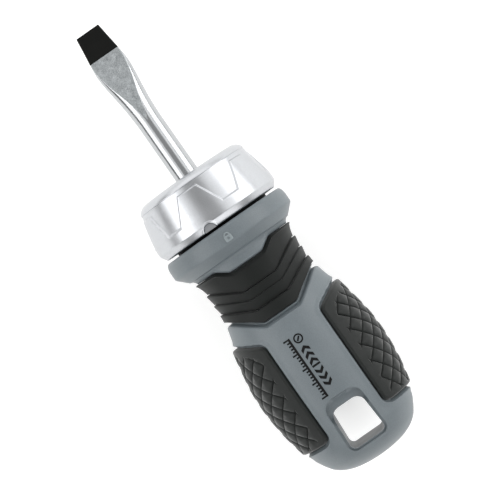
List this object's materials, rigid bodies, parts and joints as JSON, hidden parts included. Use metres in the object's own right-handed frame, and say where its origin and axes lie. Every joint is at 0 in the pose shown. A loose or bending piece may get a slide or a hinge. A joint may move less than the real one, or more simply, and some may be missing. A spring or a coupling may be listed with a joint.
{
  "type": "ratcheting screwdriver",
  "caption": "Stubby ratcheting screwdriver with a fixed slotted blade, a turning selector collar with a zigzag relief, a rubber neck, side grips and a hang hole.",
  "frame": {"origin": "on the shaft's axis, in the plane of the selector collar's front face", "axes": "+X along the shaft towards the tip, +Z out of the handle's front face, where the padlock mark is, +Y to the left when that face is looked at with the tip up"},
  "size_m": [0.1195, 0.034, 0.0328],
  "materials": {
    "blade_chrome": "matt chrome plate on forged steel, polished shank, black tip",
    "collar_chrome": "satin chrome plate",
    "ratchet_steel": "hardened and oiled",
    "spring_steel": "drawn wire and strip",
    "bearing_bronze": "sintered",
    "ring_nylon": "moulded",
    "core_plastic": "moulded, fine texture",
    "grip_rubber": "moulded, matt"
  },
  "bodies": {
    "handle": {"handle_core": "core_plastic", "neck_grip": "grip_rubber", "grip_left": "grip_rubber", "grip_right": "grip_rubber", "bearing_ring": "ring_nylon", "gear_housing": "ratchet_steel", "front_plate": "ratchet_steel", "plate_screws": "spring_steel", "retaining_ring": "spring_steel", "thrust_washer": "bearing_bronze", "rear_bush": "bearing_bronze", "click_spring": "spring_steel", "pawl_spring_left": "spring_steel", "pawl_spring_right": "spring_steel"},
    "driver": {"blade": "blade_chrome", "spindle": "ratchet_steel", "blade_pin": "spring_steel", "spindle_clip": "spring_steel"},
    "selector": {"selector_collar": "collar_chrome", "cam_disc": "ratchet_steel"},
    "left_pawl": {"pawl_left": "ratchet_steel", "pawl_pin_left": "spring_steel"},
    "right_pawl": {"pawl_right": "ratchet_steel", "pawl_pin_right": "spring_steel"}
  },
  "joints": [
    {"name": "driver_spin", "type": "hinge", "parent": "handle", "child": "driver", "pos_m": [0, 0, 0], "axis": [1, 0, 0], "continuous": true},
    {"name": "selector_turn", "type": "hinge", "parent": "handle", "child": "selector", "pos_m": [0, 0, 0], "axis": [1, 0, 0], "range_deg": [-20, 20], "deforming": ["click_spring"]},
    {"name": "left_pawl_slide", "type": "slide", "parent": "handle", "child": "left_pawl", "axis": [0, 1, 0], "range_m": [-0.0005, 0.0005], "deforming": ["pawl_spring_left"]},
    {"name": "right_pawl_slide", "type": "slide", "parent": "handle", "child": "right_pawl", "axis": [0, 1, 0], "range_m": [-0.0005, 0.0005], "deforming": ["pawl_spring_right"]}
  ],
  "couplings": [
    {"joint": "left_pawl_slide", "follows": "selector_turn", "m_per_rad": 0.001432},
    {"joint": "right_pawl_slide", "follows": "selector_turn", "m_per_rad": 0.001432}
  ]
}
